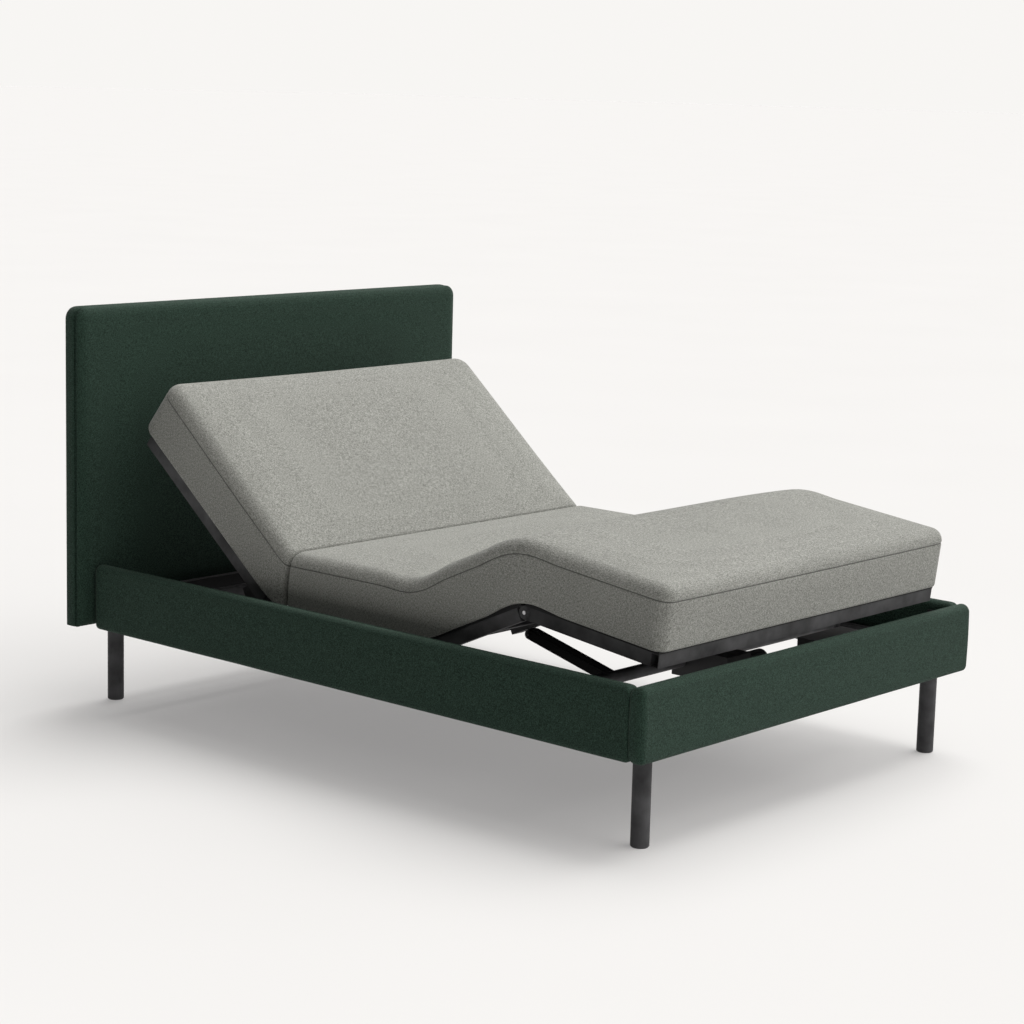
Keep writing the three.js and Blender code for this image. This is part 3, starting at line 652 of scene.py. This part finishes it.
def add_light():
    """A dim studio all round, a broad soft light from the right, and a soft key from above right."""
    world = bpy.data.worlds.new("studio")
    bpy.context.scene.world = world
    world.use_nodes = True
    tree = world.node_tree
    tree.nodes.clear()
    output = tree.nodes.new("ShaderNodeOutputWorld")
    seen = tree.nodes.new("ShaderNodeBackground")
    seen.inputs["Color"].default_value = (*backdrop, 1.0)
    lit = tree.nodes.new("ShaderNodeBackground")
    lit.inputs["Color"].default_value = (*studio_colour, 1.0)
    direction = tree.nodes.new("ShaderNodeTexCoord")
    towards = tree.nodes.new("ShaderNodeVectorMath")
    towards.operation = "DOT_PRODUCT"
    towards.inputs[1].default_value = Vector(studio_side).normalized()
    lobe = tree.nodes.new("ShaderNodeMath")
    lobe.operation = "MAXIMUM"
    lobe.inputs[1].default_value = 0.0
    sharp = tree.nodes.new("ShaderNodeMath")
    sharp.operation = "POWER"
    sharp.inputs[1].default_value = studio_focus
    strength = tree.nodes.new("ShaderNodeMath")
    strength.operation = "MULTIPLY_ADD"
    strength.inputs[1].default_value = studio_strength
    strength.inputs[2].default_value = studio_base
    path = tree.nodes.new("ShaderNodeLightPath")
    choice = tree.nodes.new("ShaderNodeMixShader")
    links = tree.links
    links.new(direction.outputs["Generated"], towards.inputs[0])
    links.new(towards.outputs["Value"], lobe.inputs[0])
    links.new(lobe.outputs[0], sharp.inputs[0])
    links.new(sharp.outputs[0], strength.inputs[0])
    links.new(strength.outputs[0], lit.inputs["Strength"])
    links.new(path.outputs["Is Camera Ray"], choice.inputs["Fac"])
    links.new(lit.outputs[0], choice.inputs[1])
    links.new(seen.outputs[0], choice.inputs[2])
    links.new(choice.outputs[0], output.inputs["Surface"])

    key = bpy.data.lights.new("key", "SUN")
    key.energy = key_energy
    key.angle = math.radians(key_angle)
    key.color = key_colour
    lamp = bpy.data.objects.new("key", key)
    bpy.context.scene.collection.objects.link(lamp)
    lamp.rotation_mode = "QUATERNION"
    lamp.rotation_quaternion = Vector(key_side).to_track_quat("Z", "Y")


# ---- upholstery ----
def finished(obj, material, node):
    """Gives a padded piece its cloth and hides the CAD node it stands for."""
    obj.data.materials.clear()
    obj.data.materials.append(material)
    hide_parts(node)


def add_rail(name, node, long_axis, corners, end_round):
    """An upholstered rail: rounded long edges, a slightly swollen face, and rounded ends.

    corners holds the radii of its low and high end, seen from above, and end_round that of its ends, seen
    from the side.
    """
    low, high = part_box(node)
    centre = (low + high) / 2
    height = high.z - low.z
    rows = wall_rows(height, rail_low_round, rail_high_round, rail_swell)
    half = (high.x - low.x) / 2
    across = np.linspace(0, 1, 9)
    if long_axis == "y":
        ends, reach, middle = 1, (high.y - low.y) / 2, centre.y
        grid = (across, graded(130, edge=0.012, edge_count=6))
    else:
        ends, reach, middle = 0, half, 0.0
        grid = (graded(100, edge=0.016, edge_count=6), across)

    def place(flat):
        past = np.clip((np.abs(flat[:, ends] - middle) - (reach - end_round)) / end_round, 0.0, 1.0)
        drop = end_round * (1.0 - np.sqrt(1.0 - past**2))
        placed = flat.copy()
        placed[:, 2] = height / 2 + (flat[:, 2] - height / 2) * (1.0 - drop / (height / 2))
        drift = [rail_unevenness * noise.noise(Vector(point) * rail_waves) for point in flat]
        return placed + np.array([centre.x, 0.0, low.z]) + np.array(drift)[:, None]

    rail = padded_mesh(name, (half, low.y, high.y), rows, corners, grid, (0.0, rail_swell), place)
    subdivided(rail)
    finished(rail, green_cloth, node)
    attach(rail, "base")


def swept(name, path, normals, profile):
    """A closed profile of (outwards, y) points swept along a path of (x, z) points, closed at both ends."""
    points, faces, flat = [], [], []
    count = len(profile)
    length = 0.0
    for k, (centre, out) in enumerate(zip(path, normals)):
        if k:
            length += float(np.linalg.norm(path[k] - path[k - 1]))
        for outwards, y in profile:
            x, z = centre + out * outwards
            points.append((x, y, z))
            flat.append((outwards, y, length))
    for k in range(len(path) - 1):
        for i in range(count):
            a, b = k * count + i, k * count + (i + 1) % count
            faces.append((a, b, b + count, a + count))
    faces.append(tuple(range(count)))
    faces.append(tuple(range((len(path) - 1) * count, len(path) * count)))
    mesh = bpy.data.meshes.new(name)
    mesh.from_pydata(points, [], faces)
    weave = mesh.attributes.new("weave", "FLOAT_VECTOR", "POINT")
    weave.data.foreach_set("vector", np.array(flat, np.float32).ravel())
    mesh.attributes.new("stitched", "FLOAT", "POINT")
    tidy_normals(mesh)
    obj = bpy.data.objects.new(name, mesh)
    bpy.context.scene.collection.objects.link(obj)
    return obj


def headboard_path(half, bottom, top, corner):
    """Up the left side, round the corners and down the right side: (x, z) points and outward directions."""
    side_steps, corner_steps, top_steps = 60, 8, 100
    points, normals = [], []

    def add(x, z, out_x, out_z):
        points.append(np.array([x, z]))
        normals.append(np.array([out_x, out_z]))

    for z in np.linspace(bottom, top - corner, side_steps):
        add(-half, z, -1.0, 0.0)
    for i in range(1, corner_steps + 1):
        angle = i / corner_steps * math.pi / 2
        add(-half + corner * (1 - math.cos(angle)), top - corner * (1 - math.sin(angle)),
            -math.cos(angle), math.sin(angle))
    for x in np.linspace(-half + corner, half - corner, top_steps)[1:]:
        add(x, top, 0.0, 1.0)
    for i in range(1, corner_steps + 1):
        angle = i / corner_steps * math.pi / 2
        add(half - corner * (1 - math.sin(angle)), top - corner * (1 - math.cos(angle)),
            math.sin(angle), math.cos(angle))
    for z in np.linspace(top - corner, bottom, side_steps)[1:]:
        add(half, z, 1.0, 0.0)
    return points, normals


pad_low, pad_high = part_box("headboard_pad")
board_low, board_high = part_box("headboard_board")
headboard_half = pad_high.x + headboard_swell
headboard_top = pad_high.z + headboard_swell / 4
strip_start, strip_end = pad_low.y + strip_near, pad_low.y + strip_far


def add_headboard_front():
    """The crowned front pad, whose sides end in the seam at the strip and go on, narrower, behind it."""
    back = pad_high.y
    depth = back - (pad_low.y + pad_crown)             # up to the pad's face before it is crowned
    visible = back - (strip_start - 0.0028)            # up to the seam just in front of the strip
    rows = [(0.0, pad_hidden + 0.002, 0.0), (0.002, pad_hidden, 0.0)]
    rows += [(t, pad_hidden, 0.0) for t in np.linspace(0.008, visible - 0.0004, 4)]
    rows += [(visible, 0.0035, 1.0), (visible + 0.0004, 0.0014, 0.0)]
    for i in range(9):
        angle = i / 8 * math.pi / 2
        rows.append((depth - pad_edge_depth * (1 - math.sin(angle)),
                     0.0006 + pad_edge_width * (1 - math.cos(angle)), 0.0))
    grid = (graded(110, edge=0.045, edge_count=9), graded(66, edge=0.07, edge_count=9))

    def place(flat):
        x, s, t = flat.T
        waves = [noise.noise(Vector((px, ps, 0.0)) * pad_waves) for px, ps in zip(x, s)]
        dent = np.array(waves) * pad_unevenness
        return np.stack([x, back - t + dent * (t > depth - 0.01), s], axis=1)

    limits = (headboard_half, pad_low.z + 0.001, headboard_top)
    corners = (0.012, headboard_corner)
    pad = padded_mesh("headboard_front", limits, rows, corners, grid, (0.0, pad_crown), place)
    subdivided(pad)
    finished(pad, green_cloth, "headboard_pad")
    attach(pad, "base")


def add_headboard_sides():
    """The flat strip between two seams and the border band, both swept round the sides and the top."""
    half, bottom, top = headboard_half - skin, pad_low.z + skin, headboard_top - skin
    path, normals = headboard_path(half, bottom, top, headboard_corner)
    inside = -pad_hidden - skin
    band_start, band_end = strip_end + band_after_strip, board_high.y - 0.0008
    board_side = board_high.x + 0.0006 - headboard_half
    board_face = board_low.y - 0.0006
    profile = [(inside, band_start), (-0.0030, band_start), (-0.0006, band_start + 0.0016),
               (0.0006, band_start + 0.008), (0.0012, (band_start + band_end) / 2),
               (0.0004, band_end - 0.009), (-0.0008, band_end - 0.0035), (-0.0028, band_end - 0.0008),
               (board_side, band_end), (board_side, board_face), (inside, board_face)]
    band = swept("headboard_border", path, normals, profile)
    finished(band, green_cloth, "headboard_pad")
    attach(band, "base")

    profile = [(inside, strip_start), (-0.0030, strip_start), (-0.0010, strip_start + 0.0012),
               (-0.0004, (strip_start + strip_end) / 2), (-0.0010, strip_end - 0.0012), (-0.0030, strip_end),
               (inside, strip_end)]
    strip = swept("headboard_strip", path, normals, profile)
    finished(strip, green_cloth, "headboard_pad")
    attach(strip, "base")


def add_headboard_back():
    """The felt-covered board behind the padding, with corners that follow the padding's."""

    def place(flat):
        x, s, t = flat.T
        return np.stack([x, board_low.y + t, s], axis=1)

    thick = board_high.y - board_low.y
    rows = [(0.0, 0.0008, 0.0), (0.001, 0.0, 0.0), (thick - 0.0015, 0.0, 0.0), (thick, 0.0012, 0.0)]
    corners = (0.002, headboard_corner - (pad_high.x - board_high.x))
    grid = (graded(40, edge=0.03, edge_count=5), graded(30, edge=0.04, edge_count=5))
    limits = (board_high.x, board_low.z, board_high.z)
    board = padded_mesh("headboard_back", limits, rows, corners, grid, (0.0, 0.0), place)
    board.data.materials.append(felt)
    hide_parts("headboard_board")
    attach(board, "base")


# ---- mattress: the places of the flat cushions, measured along them in y ----
mattress_low, mattress_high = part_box("mattress_seat")
half_width = mattress_high.x
thickness = mattress_high.z - mattress_low.z
crevice = head_axis[0]
back_flat = turned(mesh_points("mattress_back"), head_axis, -head_turn)
back_length = back_flat[:, 0].max() - head_axis[0]
calf_flat = turned(mesh_points("mattress_calf"), thigh_axis, -thigh_turn)
knee_flat = turned(knee_axis[None, :], thigh_axis, -thigh_turn)[0]
foot_end = turned(calf_flat, knee_flat, -knee_turn)[:, 0].min()


def bow(share):
    """A bow of the crevice's faces: nothing at the bottom and top of a cushion, most half way up."""
    return crevice_bow * np.sin(math.pi * np.clip(share, 0, 1))


def without_end_lip(x, t, from_crevice):
    """Heights without the hanging edge near the crevice, except at the sides."""
    at_end = (t < 0) & (from_crevice < lip_end) & (np.abs(x) < half_width - lip_side)
    return np.where(at_end, 0.0, t)


def towards_foot(angle):
    """Half way between the directions on both sides of a bend, towards the foot."""
    return np.array([-math.cos(angle / 2), -math.sin(angle / 2)])


def place_seat(flat):
    """The seat-to-foot cushion, from flat to the raised bed."""
    x, s, t = flat.T
    t = without_end_lip(x, t, crevice - s)
    share = t / thickness
    near_end = smooth_share((s - (crevice - lean_reach)) / lean_reach)
    y = s + near_end * (-crevice_lean * share + bow(share))
    over_hinge = np.exp(-(((s - thigh_axis[0]) / hinge_spread) ** 2))
    lift = hinge_lift * over_hinge * (1 - np.clip(share, 0, 1))
    points = np.stack([y, mattress_low.z + t + lift], axis=1)
    folded = bent(points, knee_flat, knee_turn, towards_foot(knee_turn), knee_reach)
    raised = bent(folded, thigh_axis, thigh_turn, towards_foot(thigh_turn), thigh_reach)
    return np.column_stack([x, raised])


def place_back(flat):
    """The back cushion, on the raised head deck, with its lower edge curving down to the crevice."""
    x, s, t = flat.T
    t = without_end_lip(x, t, s)
    deck = mattress_low.z - head_axis[1]

    def raised(along, up):
        return turned(head_axis + np.stack([along, up], axis=1), head_axis, head_turn)

    start = np.array([crevice + 0.001, mattress_low.z + 0.0015])     # just clear of the seat cushion and deck
    join = raised(np.array([deck_start]), np.array([deck]))[0]
    slope = np.array([math.cos(head_turn), math.sin(head_turn)])
    reach = np.linalg.norm(join - start)
    k = np.clip(s / deck_start, 0, 1)[:, None]
    curve = ((2 * k**3 - 3 * k**2 + 1) * start + (k**3 - 2 * k**2 + k) * np.array([reach, 0.0])
             + (3 * k**2 - 2 * k**3) * join + (k**3 - k**2) * slope * reach)
    bottom = np.where(k < 1, curve, raised(s, np.full_like(s, deck)))
    top = raised(s, deck + thickness + back_thicker * smooth_share(s / back_length))
    share = (t / thickness)[:, None]
    points = bottom + (top - bottom) * share
    points[:, 0] += (1 - smooth_share(s / bow_reach)) * bow(share[:, 0])
    return np.column_stack([x, points])


def cut_piece(source, name, low, high):
    """The part of a cushion between two distances along it, closed at the cuts."""
    mesh = source.data.copy()
    obj = bpy.data.objects.new(name, mesh)
    bpy.context.scene.collection.objects.link(obj)
    bm = bmesh.new()
    bm.from_mesh(mesh)
    along = bm.verts.layers.float_vector["weave"]
    outside = []
    for face in bm.faces:
        middle = sum(vert[along][1] for vert in face.verts) / len(face.verts)
        if middle < low or middle > high:
            outside.append(face)
    bmesh.ops.delete(bm, geom=outside, context="FACES")
    border = [edge for edge in bm.edges if edge.is_boundary]
    if border:
        bmesh.ops.holes_fill(bm, edges=border, sides=0)
        for edge in border:
            edge.smooth = False
    bm.to_mesh(mesh)
    bm.free()
    return obj


def blend_ends(axis, angle_low, angle_high, reach, sign):
    """The two points between which a cushion bends: along the bisector of the two deck directions."""
    middle = (angle_low + angle_high) / 2
    direction = sign * np.array([math.cos(middle), math.sin(middle)])
    start, end = axis - reach * direction, axis + reach * direction
    return (0.0, *start), (0.0, *end)


# where the long cushion is cut: at flat places, midway between the joints
cuts = [(thigh_axis[0] + crevice) / 2, (knee_flat[0] + thigh_axis[0]) / 2]


def cushion(name, low, high, along, corners, place, end_share):
    """A cushion between two places along the bed, modelled flat and put where the raised bed has it."""
    half = half_width + cover_overhang - cover_slack
    rows = wall_rows(thickness, lower_round, edge_round, seam_height=thickness - seam_drop, lip=lip_drop)
    grid = (graded(86, edge=0.05, edge_count=6), along)
    crown = (0.0, cushion_crown)
    return padded_mesh(name, (half, low, high), rows, corners, grid, crown, place, end_share)


def seat_to_foot():
    """The long cushion in one piece, with mesh rows exactly where it is cut into three."""
    low, high = foot_end, crevice - gap / 2
    along = graded(96, edge=0.06, edge_count=7)
    for cut in cuts:
        share = (cut - low) / (high - low)
        along[np.argmin(np.abs(along - share))] = share
    seat = cushion("seat_to_foot", low - cover_overhang + cover_slack, high, along,
                   (corner_at_foot, corner_at_crevice), place_seat, (1.0, crevice_softness))
    _, s, t = woven_places(seat).T
    swollen(seat, (t < held_height) | (s > high - held_end))
    subdivided(seat)
    return seat


def back_cushion():
    """The back cushion, in one piece."""
    along = graded(56, edge=0.10, edge_count=7)
    back = cushion("cushion_back", gap / 2, back_length + cover_overhang + back_extra, along,
                   (corner_at_crevice, corner_at_head), place_back, (crevice_softness, 1.0))
    _, s, t = woven_places(back).T
    swollen(back, (t < held_height) | (s < held_end))
    subdivided(back)
    return back


def add_mattress():
    """Four pieces: seat, thigh and calf cut from the long cushion, and the back cushion."""
    far = 9.0                          # beyond either end of the cushions
    seat = seat_to_foot()
    back = back_cushion()
    head_ends = blend_ends(head_axis, 0.0, head_turn, head_reach, 1)
    thigh_ends = blend_ends(thigh_axis, 0.0, thigh_turn, thigh_reach, -1)
    knee_ends = blend_ends(knee_axis, thigh_turn, thigh_turn + knee_turn, knee_reach, -1)
    seat_piece = cut_piece(seat, "cushion_seat", cuts[0], far)
    thigh_piece = cut_piece(seat, "cushion_thigh", cuts[1], cuts[0])
    calf_piece = cut_piece(seat, "cushion_calf", -far, cuts[1])
    bpy.data.objects.remove(seat)
    for piece, first, second, (start, end), node in (
        (seat_piece, "base", "head_section", head_ends, "mattress_seat"),
        (thigh_piece, "base", "thigh_section", thigh_ends, "mattress_thigh"),
        (calf_piece, "thigh_section", "calf_section", knee_ends, "mattress_calf"),
        (back, "base", "head_section", head_ends, "mattress_back"),
    ):
        finished(piece, grey_cloth, node)
        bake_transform(piece)


add_camera()
add_floor()
add_light()
finish_cad_nodes()
add_headboard_front()
add_headboard_sides()
add_headboard_back()
for side in ("left", "right"):
    add_rail(f"side_rail_{side}_soft", f"side_rail_{side}", "y", corners=(0.006, 0.014), end_round=0.008)
add_rail("foot_rail_soft", "foot_rail", "x", corners=(0.0195, 0.008), end_round=0.020)
add_mattress()
bpy.context.scene.view_settings.view_transform = "Standard"
